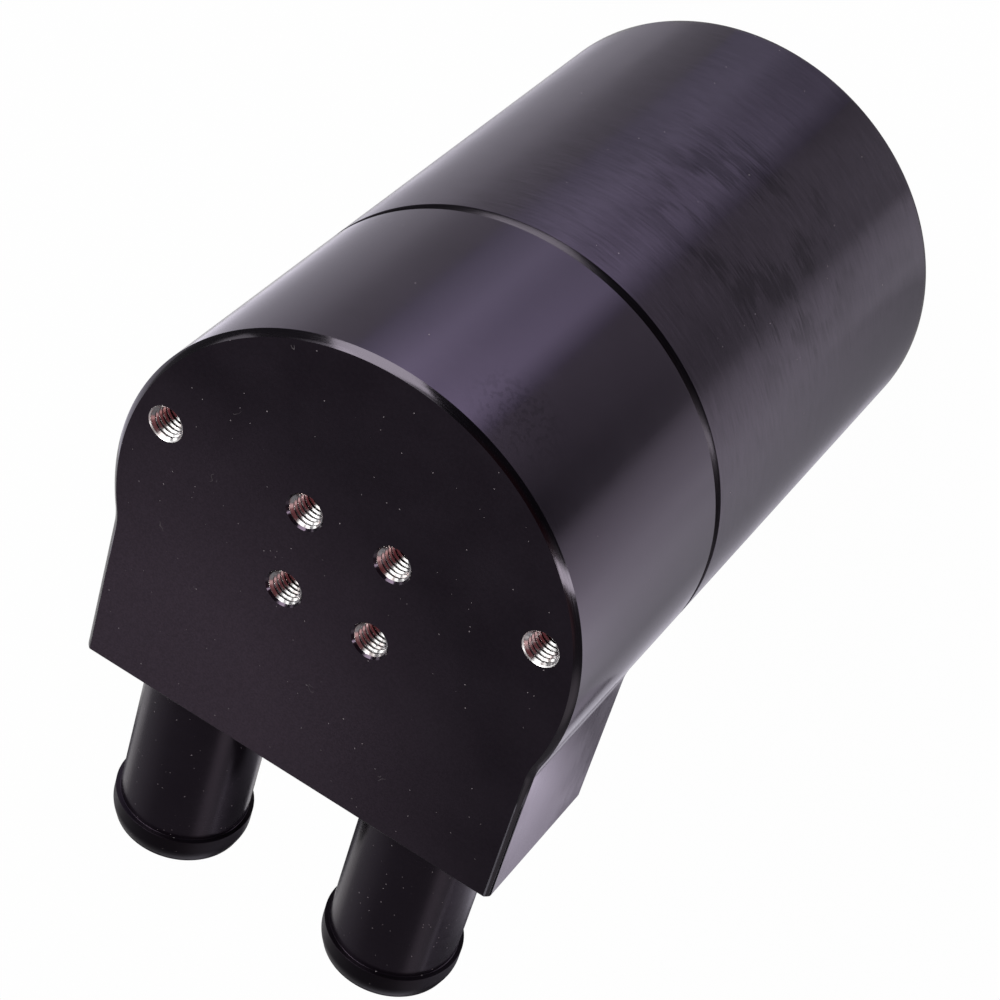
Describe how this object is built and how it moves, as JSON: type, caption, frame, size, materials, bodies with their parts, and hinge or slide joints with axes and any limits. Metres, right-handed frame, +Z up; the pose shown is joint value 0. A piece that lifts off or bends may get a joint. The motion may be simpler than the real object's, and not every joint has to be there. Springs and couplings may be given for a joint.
{
  "type": "oil catch can",
  "caption": "Round billet oil catch can: a D-shaped head with beaded hose stubs and tapped mounting holes, over a plain cup that unscrews for emptying.",
  "frame": {"origin": "centre of the can's flat foot, which it stands on", "axes": "+Z up along the can's axis to the mounting face, -Y the way the hose stubs point, +X to the outlet stub's side"},
  "size_m": [0.07, 0.1027, 0.1096],
  "materials": {
    "anodised_black": "turned and milled aluminium, black anodised, satin",
    "bare_aluminium": "bare machined aluminium",
    "stainless": "plain stainless steel",
    "wire_mesh": "knitted stainless wire",
    "seal_rubber": "black nitrile rubber"
  },
  "bodies": {
    "can": {"can": "anodised_black"},
    "seal": {"main_o_ring": "seal_rubber"},
    "head": {"head": "anodised_black", "inlet_barb": "anodised_black", "outlet_barb": "anodised_black", "inlet_tube": "bare_aluminium", "baffle_plate": "stainless", "mesh_pad": "wire_mesh", "baffle_screws": "stainless", "baffle_spacer_1": "bare_aluminium", "baffle_spacer_2": "bare_aluminium", "baffle_spacer_3": "bare_aluminium"}
  },
  "joints": [
    {"name": "head_lift", "type": "slide", "parent": "can", "child": "seal", "axis": [0, 0, 1], "range_m": [0, 0.0075]},
    {"name": "head_turn", "type": "hinge", "parent": "seal", "child": "head", "pos_m": [0, 0, 0.06785], "axis": [0, 0, 1], "range_deg": [0, 1800]}
  ],
  "couplings": [
    {"joint": "head_lift", "follows": "head_turn", "m_per_rad": 0.00023873}
  ]
}
